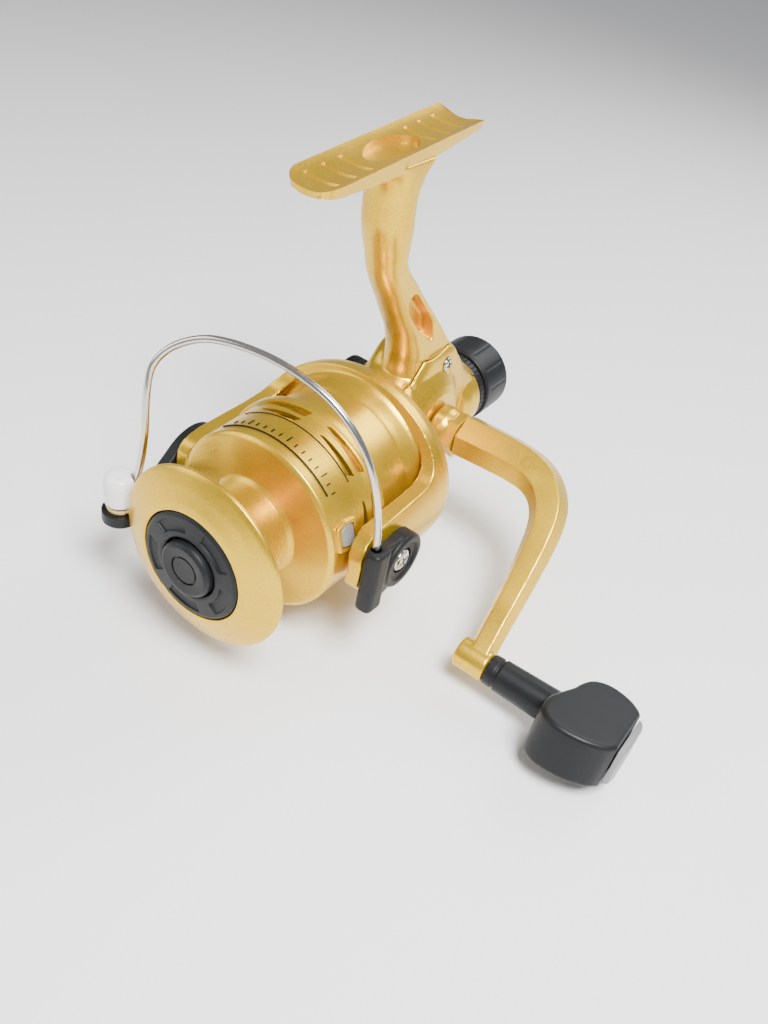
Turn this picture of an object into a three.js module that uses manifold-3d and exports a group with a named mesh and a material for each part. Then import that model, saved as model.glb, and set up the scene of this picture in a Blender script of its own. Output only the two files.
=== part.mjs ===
// Rear-drag spinning reel, in millimetres. +Z points up to the rod, -Y is the side the line leaves from,
// +X is the handle side. The origin is the centre of the foot's seat, where the reel meets the rod.
import * as THREE from 'three';
import { mergeVertices } from 'three/addons/utils/BufferGeometryUtils.js';
import Module from 'manifold-3d';

const wasm = await Module();
wasm.setup();

// ---------------------------------------------------------------- driving dimensions
const GAP = 0.3; // running clearance between two pieces
const AXIS_DROP = 100.7; // foot seat down to the spool axis
const FOOT = { length: 66, width: 14.8, pitch: 4.6, sag: 1.6, thickness: 2.6 };
const CRANK = { y: 36, z: 6.5, turn: -56 }; // drive shaft axis, and how far the arm is swung forward
const SPOOL = {
  lip: 27.8, lipY: -59.8, arbor: 14, arborFront: -56.5, arborRear: -40,
  skirt: 28, skirtFront: -37.6, skirtRear: -15, skirtRim: 29.4, bore: 2.7, web: -36.3,
};
const CAP = { radius: 16.5, front: -64.6, back: -61.8 };
const BUTTON = { radius: 8.5, front: -67 };
const DRUM = { radius: 26.4, front: -22, inner: 24 };
const RIM = { inner: 30.3, outer: 35, rear: 13, flatten: 0.886, flattenInner: 0.93 }; // oval, wide
const ARM = { halfWidth: 10, front: -34.5 };
const BAIL = { pivotY: -20.6, face: 35.4, armPlate: 4.2, holderPlate: 5, head: 8.8, wire: 1.2 };
const ROLLER = { x: -34.2, y: -57, base: -8.4, baseTop: -4.8, capBase: -2.5, capTop: 7.8, capRadius: 4.6 };
const HOUSING = { parting: 6.3, front: 13.6, rear: 67, neck: 13.4 };
const SHAFT_RADIUS = 2.3;
const PINION = { radius: 4, outer: 4.4, teeth: 8, rear: 28 };
const DRIVE = { shaft: 3.2, gear: 14, gearX: -9.8, faceX: -6.5, toothX: -5, teeth: 41 };
const WORM = { z: -11.5, radius: 2.6, gear: 6.8, teeth: 13, front: 24, rear: 49.8 }; // moves the spool
const KNOB = { reach: 59.4, stemX: 72, paddleX: 94, endX: 117.2, tilt: 14 };
const DRAG = { collar: 67.3, knob: 71.3, end: 87.5, radius: 13.9 };
const HUB = { start: 13.7, hex: 19, end: 23.1, radius: 7.6 };
const CLIP = { angle: 72, y: -32.3 };

// ---------------------------------------------------------------- materials
const finish = (color, roughness, metalness) =>
  new THREE.MeshStandardMaterial({ color, roughness, metalness });
const GOLD = finish(0xe0ac55, 0.35, 0.75);
const BLACK = finish(0x2e3234, 0.5, 0);
const GREY = finish(0x8a8c8e, 0.45, 0);
const STEEL = finish(0xc8c8c4, 0.25, 1);
const BRASS = finish(0xc9a24b, 0.3, 1);
const ZINC = finish(0x9a9c9e, 0.45, 0.9);
const WHITE = finish(0xeeeeec, 0.3, 0.3);
const FELT = finish(0x6b6256, 0.95, 0);

// ---------------------------------------------------------------- solids
const rad = THREE.MathUtils.degToRad;

/** A closed, outward-facing manifold solid from any closed geometry. */
function toSolid(geometry) {
  const bare = geometry.clone();
  bare.deleteAttribute('normal');
  bare.deleteAttribute('uv');
  const merged = mergeVertices(bare, 1e-4);
  const p = merged.attributes.position;
  const corners = [0, 1, 2].map(() => new THREE.Vector3());
  const triangles = [];
  let volume = 0;
  for (let i = 0; i < merged.index.count; i += 3) {
    const ids = [0, 1, 2].map((k) => merged.index.getX(i + k));
    if (new Set(ids).size < 3) continue;
    corners.forEach((corner, k) => corner.fromBufferAttribute(p, ids[k]));
    volume += corners[0].dot(corners[1].clone().cross(corners[2]));
    triangles.push(ids);
  }
  const triVerts = new Uint32Array(triangles.map((t) => (volume < 0 ? [t[0], t[2], t[1]] : t)).flat());
  const mesh = new wasm.Mesh({ numProp: 3, vertProperties: new Float32Array(p.array), triVerts });
  return new wasm.Manifold(mesh);
}

function toGeometry(solid) {
  const mesh = solid.getMesh();
  const geometry = new THREE.BufferGeometry();
  geometry.setAttribute('position', new THREE.BufferAttribute(new Float32Array(mesh.vertProperties), 3));
  geometry.setIndex(new THREE.BufferAttribute(new Uint32Array(mesh.triVerts), 1));
  geometry.computeVertexNormals();
  return geometry;
}

const join = (...parts) => toGeometry(parts.map(toSolid).reduce((a, b) => a.add(b)));
const cut = (body, ...tools) =>
  toGeometry(tools.map(toSolid).reduce((a, b) => a.subtract(b), toSolid(body)));
const common = (...parts) => toGeometry(parts.map(toSolid).reduce((a, b) => a.intersect(b)));

/** Solid of revolution about the Y axis; the profile is a list of [radius, y]. */
function turned(profile, segments = 40) {
  const onAxis = profile[0][0] === 0;
  const closed = onAxis ? profile : [...profile, profile[0]];
  return new THREE.LatheGeometry(closed.map(([r, y]) => new THREE.Vector2(r, y)), segments);
}

/** Plain or ring-shaped disc about Y, from y0 to y1. */
function disc(outer, inner, y0, y1, segments = 24) {
  const profile = inner > 0
    ? [[inner, y0], [outer, y0], [outer, y1], [inner, y1]]
    : [[0, y0], [outer, y0], [outer, y1], [0, y1]];
  return turned(profile, segments);
}

const alongX = (geometry) => geometry.rotateZ(-Math.PI / 2); // a turned piece's y becomes x
const alongZ = (geometry) => geometry.rotateX(Math.PI / 2); // a turned piece's y becomes z
const discX = (outer, inner, x0, x1, y, z, segments = 24) =>
  alongX(disc(outer, inner, x0, x1, segments)).translate(0, y, z);
const discZ = (outer, inner, z0, z1, x, y, segments = 24) =>
  alongZ(disc(outer, inner, z0, z1, segments)).translate(x, y, 0);

/** Box between two corners. */
function block(x0, y0, z0, x1, y1, z1) {
  return new THREE.BoxGeometry(x1 - x0, y1 - y0, z1 - z0)
    .translate((x0 + x1) / 2, (y0 + y1) / 2, (z0 + z1) / 2);
}

/** Outline [[u, v], ...] extruded from 0 to depth, with an optional edge bevel kept inside the outline. */
function extruded(outline, depth, bevel = 0, bevelSegments = 1) {
  const shape = new THREE.Shape(outline.map(([u, v]) => new THREE.Vector2(u, v)));
  return new THREE.ExtrudeGeometry(shape, {
    depth: depth - 2 * bevel, bevelEnabled: bevel > 0, bevelThickness: bevel, bevelSize: bevel,
    bevelOffset: -bevel, bevelSegments, curveSegments: 8,
  }).translate(0, 0, bevel);
}

const FACING_X = new THREE.Matrix4().makeBasis(
  new THREE.Vector3(0, 1, 0), new THREE.Vector3(0, 0, 1), new THREE.Vector3(1, 0, 0));

/** Prism along X over an outline of [y, z]. */
const prismX = (outline, x0, x1, bevel = 0, steps = 1) =>
  extruded(outline, x1 - x0, bevel, steps).applyMatrix4(FACING_X).translate(x0, 0, 0);
/** Prism along Z over an outline of [x, y]. */
const prismZ = (outline, z0, z1, bevel = 0, steps = 1) =>
  extruded(outline, z1 - z0, bevel, steps).translate(0, 0, z0);

/** Closed skin over a stack of rings that all have the same number of [x, y, z] points. */
function lofted(rings) {
  const n = rings[0].length;
  const positions = rings.flat(2);
  const index = [];
  for (let r = 0; r + 1 < rings.length; r++) {
    for (let i = 0; i < n; i++) {
      const a = r * n + i;
      const b = r * n + ((i + 1) % n);
      index.push(a, b, b + n, a, b + n, a + n);
    }
  }
  [0, rings.length - 1].forEach((r) => {
    const outline = rings[r];
    const mean = [0, 1, 2].map((k) => outline.reduce((sum, p) => sum + p[k], 0) / n);
    const centre = positions.length / 3;
    positions.push(...mean);
    for (let i = 0; i < n; i++) {
      const a = r * n + i;
      const b = r * n + ((i + 1) % n);
      index.push(...(r === 0 ? [centre, b, a] : [centre, a, b]));
    }
  });
  const geometry = new THREE.BufferGeometry();
  geometry.setAttribute('position', new THREE.Float32BufferAttribute(positions, 3));
  geometry.setIndex(index);
  return geometry;
}

/** Round bar bent along a smooth path through the points. */
function bentRod(points, radius, steps, sides = 8) {
  const section = new THREE.Shape();
  for (let i = 0; i < sides; i++) {
    const a = (i / sides) * 2 * Math.PI;
    section[i ? 'lineTo' : 'moveTo'](radius * Math.cos(a), radius * Math.sin(a));
  }
  section.closePath();
  const knots = points.map((p) => new THREE.Vector3(...p));
  const extrudePath = new THREE.CatmullRomCurve3(knots, false, 'centripetal');
  return new THREE.ExtrudeGeometry(section, { steps, extrudePath, bevelEnabled: false });
}

/** Coil spring about Y. */
function coil(radius, wire, y0, y1, turns) {
  const points = [];
  const steps = turns * 10;
  for (let i = 0; i <= steps; i++) {
    const a = (i / 10) * 2 * Math.PI;
    points.push([radius * Math.cos(a), y0 + ((y1 - y0) * i) / steps, radius * Math.sin(a)]);
  }
  return bentRod(points, wire, steps, 5);
}

/** Spur gear about Y. */
function toothed(outer, root, inner, y0, y1, teeth) {
  const shape = new THREE.Shape();
  for (let i = 0; i < teeth * 2; i++) {
    const a = (i / (teeth * 2)) * 2 * Math.PI;
    const r = i % 2 ? outer : root;
    shape[i ? 'lineTo' : 'moveTo'](r * Math.cos(a), r * Math.sin(a));
  }
  shape.closePath();
  const hole = new THREE.Path().absarc(0, 0, inner, 0, 2 * Math.PI, true);
  if (inner > 0) shape.holes.push(hole);
  return new THREE.ExtrudeGeometry(shape, { depth: y1 - y0, bevelEnabled: false, curveSegments: 12 })
    .rotateX(-Math.PI / 2).translate(0, y0, 0);
}

/** Pan-head screw about X: head from the face outwards, shank inwards, and a cross recess. */
function screwX(face, side, headRadius, headHeight, shankRadius, shankLength, y, z) {
  const outwards = side * headHeight;
  const [h0, h1] = [face, face + outwards].sort((a, b) => a - b);
  const [s0, s1] = [face - side * shankLength, face + 0.1 * side].sort((a, b) => a - b);
  const top = face + outwards;
  const [c0, c1] = [top - side * 0.9, top + side].sort((a, b) => a - b);
  const slot = headRadius * 0.6;
  return cut(
    join(discX(headRadius, 0, h0, h1, y, z, 18), discX(shankRadius, 0, s0, s1, y, z, 10)),
    block(c0, y - slot, z - 0.4, c1, y + slot, z + 0.4),
    block(c0, y - 0.4, z - slot, c1, y + 0.4, z + slot),
  );
}

// ---------------------------------------------------------------- scene graph
const reel = new THREE.Group();
reel.name = 'spinning_reel';
const axisGroup = new THREE.Group(); // its Y axis is the spool axis
axisGroup.position.z = -AXIS_DROP;
const rotorGroup = new THREE.Group(); // its X axis is parallel to the line through the two bail pivots
const crankGroup = new THREE.Group(); // its X axis is the drive shaft, its -Z runs down the handle arm
crankGroup.position.set(0, CRANK.y, CRANK.z);
crankGroup.rotation.x = rad(CRANK.turn);
const knobGroup = new THREE.Group(); // its X axis is the knob's spindle
knobGroup.position.set(0, 0, -KNOB.reach);
knobGroup.rotation.x = rad(-CRANK.turn - KNOB.tilt);
reel.add(axisGroup);
axisGroup.add(rotorGroup, crankGroup);
crankGroup.add(knobGroup);

function piece(name, geometry, material, parent = axisGroup) {
  const mesh = new THREE.Mesh(toGeometry(toSolid(geometry)), material);
  mesh.name = name;
  parent.add(mesh);
}

// ---------------------------------------------------------------- foot and stem
/** Foot: a tapered plate with a trough along its top, a dish over the stem and grooves at each end. */
function footPlate() {
  const half = FOOT.width / 2;
  const end = FOOT.length / 2;
  const facets = 5;
  const outlineHalf = (y) => {
    const fromFront = y + end;
    if (fromFront >= 6) return half;
    return half * (0.42 + 0.58 * Math.sqrt(Math.max(0, 1 - (1 - fromFront / 6) ** 2)));
  };
  const depth = (y) => FOOT.thickness * (1.5 - 0.9 * Math.abs(y / end) ** 1.3);
  const stations = [-end, -end + 0.8, -end + 2.2, -end + 4, -end + 6, -22, -12, 0, 12, 22, end];
  const rings = stations.map((y) => {
    const w = outlineHalf(y);
    const top = [];
    for (let i = 0; i <= facets; i++) {
      const x = w * (1 - (2 * i) / facets);
      top.push([x, y, -FOOT.sag * (1 - (Math.abs(x) / half) ** 2)]);
    }
    return [...top, [-w * 0.9, y, -depth(y) - 0.9], [0, y, -depth(y) - 1.6], [w * 0.9, y, -depth(y) - 0.9]];
  });
  const plate = lofted(rings);
  const grooves = [-27, -20.4, -13.9, 13.4, 19.8, 26.3].map((y) =>
    block(-4.7, y - 0.9, -FOOT.sag - 0.6, 4.7, y + 0.9, 2));
  return { plate, grooves };
}

/** Stem: broad rounded front, flat sides, swept back from the foot to the housing. */
function stemPost() {
  // height above the spool axis, front, where the flat side starts, rear, half width
  const stations = [
    [97.5, -9, -1, 13, 7.2], [93, -4, 3, 8.6, 7.3], [88, -2.5, 4, 6.8, 7.3], [80, -2.1, 4.9, 7.9, 7.2],
    [74, -0.2, 5.8, 9, 6.7], [69, 1.8, 6.9, 10.2, 6.1], [65.5, 3, 7.7, 12.4, 5.8], [61, 5.4, 9.8, 17, 5.6],
    [54, 10.2, 14.6, 23.8, 5.6], [47, 14.9, 19.4, 30.7, 5.8], [38, 20.8, 25.8, 39.2, 6.3],
    [31, 23.2, 29, 45.3, 6.7], [22, 23.6, 29.6, 53, 6.9],
  ];
  const arc = 10;
  return lofted(stations.map(([z, front, side, rear, w]) => {
    const ring = [[w - 0.6, rear, z], [w, rear - 0.6, z]];
    for (let i = 0; i <= arc; i++) {
      const a = (i / arc) * Math.PI;
      ring.push([w * Math.cos(a), side - (side - front) * Math.sin(a), z]);
    }
    ring.push([-w, rear - 0.6, z], [-w + 0.6, rear, z]);
    return ring;
  }));
}

/** Long hollow in the flat side of the stem. */
const stemHollow = [
  [16, 55.4], [19, 56], [24.6, 50.6], [31.6, 43.6], [33.6, 36.6], [32.6, 35.6], [25, 41.6], [17.6, 49],
  [15.6, 52.4],
];

// ---------------------------------------------------------------- housing
const hollowOutline = [
  [22, -18], [22, 18], [28, 24], [43.5, 26], [52, 18.5], [57, 12], [57, -10], [51, -16.8], [38, -18.4],
  [28, -19],
];
const coverOutline = (grow) => [
  [17.6 - grow, -40], [17.6 - grow, 33.6 + grow], [19, 33.6 + grow], [29.7, 29.4 + grow], [46, 29.9 + grow],
  [59 + grow, 17.2 + grow], [HOUSING.rear - 0.2 + grow, 9.6 + grow], [HOUSING.rear - 0.2 + grow, -40],
];

/** Outer shape shared by the housing and its side cover: round in front, slab-sided behind. */
function casing() {
  // y, left and right half widths, top, bottom, squareness of the section
  const stations = [
    [HOUSING.front, 24, 24, 24, -24, 2], [17, 24, 24, 24, -24, 2], [20.4, 19.6, 20, 23.4, -23.4, 2.2],
    [24.6, 14.4, 12.4, 24.6, -24, 2.8], [28.6, 13.2, 9.9, 28.4, -24.2, 4.2], [34, 13, 9.6, 31.4, -24, 5.5],
    [46, 13, 9.6, 30.5, -21.2, 6], [52.6, 13, 9.6, 24.4, -18.8, 6], [59, 13, 9.6, 18, -16.6, 5],
    [64.1, 12.8, 9.8, 13.9, -14.6, 4.4],
    [HOUSING.rear, 12.4, 10.4, 12.2, -12.6, 2.6],
  ];
  const n = 40;
  const body = lofted(stations.map(([y, left, right, top, bottom, power]) => {
    const ring = [];
    for (let i = 0; i < n; i++) {
      const a = (i / n) * 2 * Math.PI;
      const c = Math.cos(a);
      const d = Math.sin(a);
      ring.push([(c > 0 ? right : left) * Math.sign(c) * Math.abs(c) ** (2 / power), y,
        -(d > 0 ? -bottom : top) * Math.sign(d) * Math.abs(d) ** (2 / power)]);
    }
    return ring;
  }));
  const neck = turned([[0, 58], [12, 58], [HOUSING.neck, 61], [HOUSING.neck, HOUSING.rear],
    [0, HOUSING.rear]], 40);
  const crankBoss = alongX(turned([
    [0, 6], [19.3, 6], [18.9, 8.2], [13.5, 12.2], [11, 13.4], [0, 13.4]], 36))
    .rotateX(rad(4)).translate(0, CRANK.y, CRANK.z);
  return join(body, neck, crankBoss);
}

function housing() {
  const { plate, grooves } = footPlate();
  const pitch = rad(FOOT.pitch);
  const seat = (geometry) => geometry.rotateX(pitch).translate(0, 0, AXIS_DROP);
  const dish = new THREE.SphereGeometry(1, 20, 10).scale(5, 10.4, 4).translate(0, 1, -0.9);
  const capBoss = alongX(turned([[0, -17], [9, -17], [11.5, -12.5], [0, -12.5]], 32))
    .translate(0, CRANK.y, CRANK.z);
  const outer = join(casing(), stemPost(), seat(plate), capBoss);
  return cut(
    outer,
    seat(dish), ...grooves.map(seat),
    prismX(coverOutline(GAP), HOUSING.parting, 30),
    prismX(hollowOutline, -10.5, 12),
    disc(8.3, 0, 13, 22), // front bearing seat
    disc(9.3, 0, 50, 65.4), // drag chamber
    disc(4.4, 0, 60, 70, 24), // drag spindle bore
    discX(6.8, 0, -14, -9, CRANK.y, CRANK.z, 28), // left bearing seat
    discX(3.6, 0, -20, -9, CRANK.y, CRANK.z, 24),
    prismX(stemHollow, 1.3, 12), prismX(stemHollow, -12, -1.3),
    block(-1.6, 47.4, -26, 1.6, 50.6, -15), // lever pivot
  );
}

function sideCover() {
  return cut(
    common(casing(), prismX(coverOutline(0), HOUSING.parting + GAP, 30)),
    prismX(hollowOutline, 0, 7.4),
    disc(8.6, 0, 13, 22), disc(8.9, 0, 50, 65.4),
    discX(12, 0, 0, 9.4, CRANK.y, CRANK.z, 32),
    discX(6.8, 0, 8, 12.5, CRANK.y, CRANK.z, 28), // right bearing seat
    discX(3.6, 0, 8, 14, CRANK.y, CRANK.z, 24),
    ...coverScrews.flatMap(({ y, z, face }) =>
      [discX(2.9, 0, face, 16, y, z, 20), discX(1.5, 0, 0, 16, y, z, 16)]),
  );
}

const coverScrews = [
  { name: 'cover_screw_top', y: 42.6, z: 24.5, face: 8.3 },
  { name: 'cover_screw_front', y: 26.3, z: -20.2, face: 8.3 },
  { name: 'cover_screw_rear', y: 58.2, z: -12.2, face: 8.3 },
];

piece('housing', housing(), GOLD);
piece('side_cover', sideCover(), GOLD);
coverScrews.forEach(({ name, y, z, face }) =>
  piece(name, screwX(face + GAP, 1, 2.5, 1.2, 1.1, 1.7, y, z), STEEL));

// ---------------------------------------------------------------- rear drag
function dragKnob() {
  const shell = turned([
    [0, DRAG.end - 0.4], [9, DRAG.end], [12.6, DRAG.end - 0.3], [DRAG.radius, DRAG.end - 1.8],
    [DRAG.radius, DRAG.knob + 0.6], [DRAG.radius - 0.5, DRAG.knob], [11.6, DRAG.knob], [11.6, 83], [7, 83],
    [7, 77],
    [3.6, 77], [3.6, 84], [0, 84],
  ], 40);
  const flutes = [];
  for (let i = 0; i < 12; i++) {
    const a = rad(i * 30 + 15);
    const reach = DRAG.radius + 1;
    flutes.push(disc(1.6, 0, 73.5, 86, 8).translate(reach * Math.cos(a), 0, reach * Math.sin(a)));
  }
  return cut(shell, ...flutes);
}

piece('rear_collar', disc(13.1, 5, DRAG.collar, DRAG.knob - GAP, 40), BLACK);
piece('drag_knob', dragKnob(), BLACK);
piece('drag_spindle', join(disc(3.3, 2.7, 60.4, 83.6, 24), disc(6.4, 2.7, 60.4, 62, 24)), BRASS);
piece('drag_spring', coil(4.6, 0.38, 56.4, 59.6, 3), STEEL);
[['drag_disc_steel', 54.4, STEEL], ['drag_disc_felt', 52.7, FELT], ['drag_disc_rear', 51, STEEL]].forEach(
  ([name, y, material]) => piece(name, disc(8.6, 2.7, y, y + 1.3, 32), material));

// ---------------------------------------------------------------- shaft and oscillation
piece('main_shaft', disc(SHAFT_RADIUS, 0, -58.8, 63, 20), STEEL);
piece('oscillation_slider', cut(
  join(block(-4.6, 30, -6.4, 4.6, 35, 2.8), block(-4.2, 30, -16, 4.2, 35, -6)),
  disc(SHAFT_RADIUS + GAP, 0, 20, 60, 20),
  disc(WORM.radius + GAP, 0, 20, 60, 20).translate(0, 0, WORM.z)), ZINC);
piece('worm_shaft', join(
  toothed(WORM.gear, WORM.gear - 1, 0, WORM.front, WORM.front + 3, WORM.teeth),
  disc(WORM.radius, 0, WORM.front + 2.9, WORM.rear, 20)).translate(0, 0, WORM.z), ZINC);

// ---------------------------------------------------------------- drive train and handle
function driveGear() {
  const wheel = toothed(DRIVE.gear, DRIVE.gear - 1, 0, DRIVE.gearX, DRIVE.faceX, DRIVE.teeth);
  const faceTeeth = toothed(13, 10.6, 8.5, DRIVE.faceX - 0.1, DRIVE.toothX, 24);
  return alongX(join(wheel, faceTeeth, disc(DRIVE.shaft, 0, -16.8, 19.7, 24)));
}

function handleHub() {
  const hexagon = new THREE.CylinderGeometry(7.7, 7.2, HUB.end - HUB.hex, 6)
    .translate(0, (HUB.end + HUB.hex) / 2, 0);
  const barrel = turned([
    [0, HUB.start], [HUB.radius - 0.8, HUB.start], [HUB.radius, HUB.start + 0.8], [HUB.radius, 17.4],
    [6.8, HUB.hex + 0.6], [0, HUB.hex + 0.6]], 32);
  return alongX(cut(join(barrel, hexagon), disc(DRIVE.shaft + GAP, 0, 10, 20, 24)));
}

/** Cranked arm of six-sided section, tapering from the hub to the knob boss. */
function handleArm() {
  // along the shaft, down the arm, direction of travel, flat face width, side bevel, half depth
  const stations = [
    [23.4, 0.9, 0, 8.2, 3.4, 6.3], [34, 1.3, 0, 8.2, 3.3, 6.2], [43, 1.3, 0, 8, 3.2, 6.1],
    [50.5, 0.3, 12, 7.8, 3, 5.9],
    [56.2, -2.6, 34, 7.4, 2.8, 5.7], [60.4, -7.4, 56, 7, 2.6, 5.5], [62.8, -13.6, 72, 6.4, 2.4, 5.3],
    [64.2, -21, 80, 6, 2.2, 5.1], [65.3, -30, 84, 5.6, 2, 4.9], [66.2, -40, 85, 5.2, 1.9, 4.7],
    [67, -50, 86, 5, 1.8, 4.5], [67.6, -57.5, 86, 5, 1.8, 4.3],
  ];
  const bar = lofted(stations.map(([x, z, heading, face, bevel, depth]) => {
    const side = [Math.sin(rad(heading)), Math.cos(rad(heading))]; // across the arm, in its own plane
    const half = face / 2;
    return [[half, -depth], [half + bevel, 0], [half, depth], [-half, depth], [-half - bevel, 0],
      [-half, -depth]]
      .map(([across, y]) => [x + side[0] * across, y, z + side[1] * across]);
  }));
  const boss = alongX(turned([[0, 61.4], [4.3, 61.4], [4.8, 61.9], [4.8, 71], [4.4, 71.6], [0, 71.6]], 28))
    .translate(0, 0, -KNOB.reach);
  return cut(join(bar, boss), discX(2.3, 0, 62.9, 80, 0, -KNOB.reach, 20));
}

/** Knob: a tapered stem and a flat paddle, bored for its spindle. */
function handleKnob() {
  const stem = alongX(turned([
    [0, KNOB.stemX], [4.7, KNOB.stemX], [4.9, 74.6], [4.4, 74.9], [4.4, 75.5], [5, 75.8],
    [5.5, KNOB.paddleX + 3],
    [0, KNOB.paddleX + 3]], 28));
  const outline = [
    [95.6, 5], [96.4, 9], [98, 13], [101, 15.6], [105, 16.4], [110, 15.2], [113.4, 12.8], [114.8, 10.8],
    [114.8, -10.8], [112.4, -13.8], [107, -16.8], [100.5, -18], [95.8, -17.2], [92.6, -14.2], [91.6, -9],
    [92, -5],
  ];
  const paddle = prismZ(outline, -7.6, 7.6, 3.6, 3);
  return cut(join(stem, paddle), discX(2.3, 0, 70, 112.4, 0, 0, 20));
}

piece('drive_gear', driveGear(), ZINC, crankGroup);
piece('handle_screw_cap', alongX(turned([
  [0, -25], [6.8, -25], [8, -23.8], [8, -19.6], [7.2, -19.2], [7.2, -18.6], [8, -18.2], [8, -17.4],
  [0, -17.4]], 32)),
BLACK, crankGroup);
piece('handle_hub', handleHub(), GOLD, crankGroup);
piece('handle_arm', handleArm(), GOLD, crankGroup);
piece('knob_spindle', discX(2, 0, 63.2, 112, 0, 0, 16), STEEL, knobGroup);
piece('handle_knob', handleKnob(), BLACK, knobGroup);
piece('knob_end_cap', prismZ([
  [115.1, 10.6], [116.6, 9], [KNOB.endX, 6], [KNOB.endX, -6], [116.6, -9], [115.1, -10.6]], -5.6, 5.6, 0.9),
GREY, knobGroup);
piece('bearing_left', discX(6.5, DRIVE.shaft + GAP, -13.6, -10.8, CRANK.y, CRANK.z, 28), STEEL);
piece('bearing_right', discX(6.5, DRIVE.shaft + GAP, 9.4, 12.2, CRANK.y, CRANK.z, 28), STEEL);

// ---------------------------------------------------------------- rotor
/** Side view of the rotor's saddle: two arms that widen into a ring at the rear. */
function saddleOutline() {
  const w = ARM.halfWidth;
  const edge = [[ARM.front, w * 0.42], [ARM.front + 1.8, w * 0.74], [ARM.front + 5.2, w * 0.93],
    [ARM.front + 10, w],
    [-4, w + 0.6], [2, w + 2],
    [5, w + 5.4], [6.4, w + 11], [7, 30], [7.2, 40]];
  return [...edge.map(([y, z]) => [y, z]), [RIM.rear, 40], [RIM.rear, -40],
    ...edge.map(([y, z]) => [y, -z]).reverse()];
}

function rotor() {
  const drum = turned([
    [PINION.radius + GAP, DRUM.front + 3], [PINION.radius + GAP, DRUM.front], [DRUM.radius - 1, DRUM.front],
    [DRUM.radius, DRUM.front + 1], [DRUM.radius, 0.6], [27.2, 2.6], [28.2, 5.4], [29.4, 7.4],
    [29.8, RIM.rear],
    [26.5, RIM.rear], [DRUM.inner, 8], [DRUM.inner, DRUM.front + 3], [8, DRUM.front + 3], [8, 6.5],
    [PINION.radius + GAP, 6.5],
  ], 40);
  const outside = turned([[0, -36], [RIM.outer - 0.8, -36], [RIM.outer, -33], [RIM.outer, 4],
    [34.6, 10], [33.8, RIM.rear], [0, RIM.rear]], 40).scale(1, 1, RIM.flatten);
  const ring = cut(outside, disc(RIM.inner, 0, -40, 40, 40).scale(1, 1, RIM.flattenInner));
  const saddle = common(prismX(saddleOutline(), -40, 40), ring);
  const pivots = [1, -1].flatMap((side) => {
    const bore = [29 * side, 40 * side].sort((a, b) => a - b);
    return [discX(1.9, 0, bore[0], bore[1], BAIL.pivotY, 0, 16)];
  });
  const springPocket = discX(5.6, 0, 32.2, 40, BAIL.pivotY, 0, 28);
  return cut(join(drum, saddle), ...pivots, springPocket);
}

piece('rotor', rotor(), GOLD, rotorGroup);
piece('pinion_gear', cut(
  join(
    disc(PINION.radius, 0, DRUM.front - 3, 20, 24),
    toothed(PINION.outer, 3.5, 0, 20 - 0.1, PINION.rear, PINION.teeth),
  ),
  disc(SHAFT_RADIUS + 0.4, 0, -30, 40, 24)), BRASS);
piece('rotor_nut', cut(
  new THREE.CylinderGeometry(7, 7, 2.4, 6).translate(0, DRUM.front - 1.5, 0),
  disc(PINION.radius + GAP, 0, -30, 0, 24)), BRASS);
piece('pinion_bearing', disc(8, PINION.radius + GAP, 14.2, 19.6, 32), STEEL);
piece('one_way_clutch', disc(11.5, PINION.radius + GAP, 8, 13.2, 32), STEEL);

// ---------------------------------------------------------------- bail
const wirePath = [
  [-32.4, -55, 1.6], [-31.8, -54.4, 4], [-30.1, -53.5, 10.3], [-29.2, -52.6, 21.5], [-30.4, -50.8, 33.5],
  [-30.6, -48.6, 41.2], [-27, -45.6, 47.4], [-20, -42.5, 52], [-11.8, -40.6, 54.1], [-1, -38.9, 54.6],
  [9, -37.8, 53.4],
  [18.6, -36.9, 50.2], [26, -36.2, 44.8], [31.2, -35.4, 37.8], [34.6, -34.5, 28.9], [36.7, -33.6, 18.7],
  [37.2, -33, 11.9], [37.4, -32.9, 5.4],
];
const holderOutline = [
  [-20.6, 8.8], [-25.4, 9], [-30, 10], [-34.6, 10], [-35.4, 4], [-35.2, -8.4], [-33, -10.4], [-29.4, -10],
  [-25.6, -8.8],
  [-20.6, -8.8],
];

function bailHolder() {
  const outer = BAIL.face + BAIL.holderPlate;
  const wireHole = bentRod(
    [[36.7, -33.6, 18.7], [37.2, -33, 11.9], [37.4, -32.9, 4.6]], BAIL.wire + 0.4, 3);
  const socket = common(
    alongZ(turned([[0, -10.6], [2.6, -10.2], [3.5, -8.2], [3.5, 7.6], [3, 10.8], [0, 10.8]], 20))
      .translate(37.4, -32.9, 0),
    block(BAIL.face, -40, -20, 50, -20, 20),
  );
  return cut(
    join(
      discX(BAIL.head, 0, BAIL.face, outer, BAIL.pivotY, 0, 32),
      prismX(holderOutline, BAIL.face, outer - 1.2, 0.9), socket,
    ),
    wireHole,
    discX(1.9, 0, 30, 50, BAIL.pivotY, 0, 16),
    discX(4.1, 0, outer - 1.9, 50, BAIL.pivotY, 0, 24),
  );
}

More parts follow.
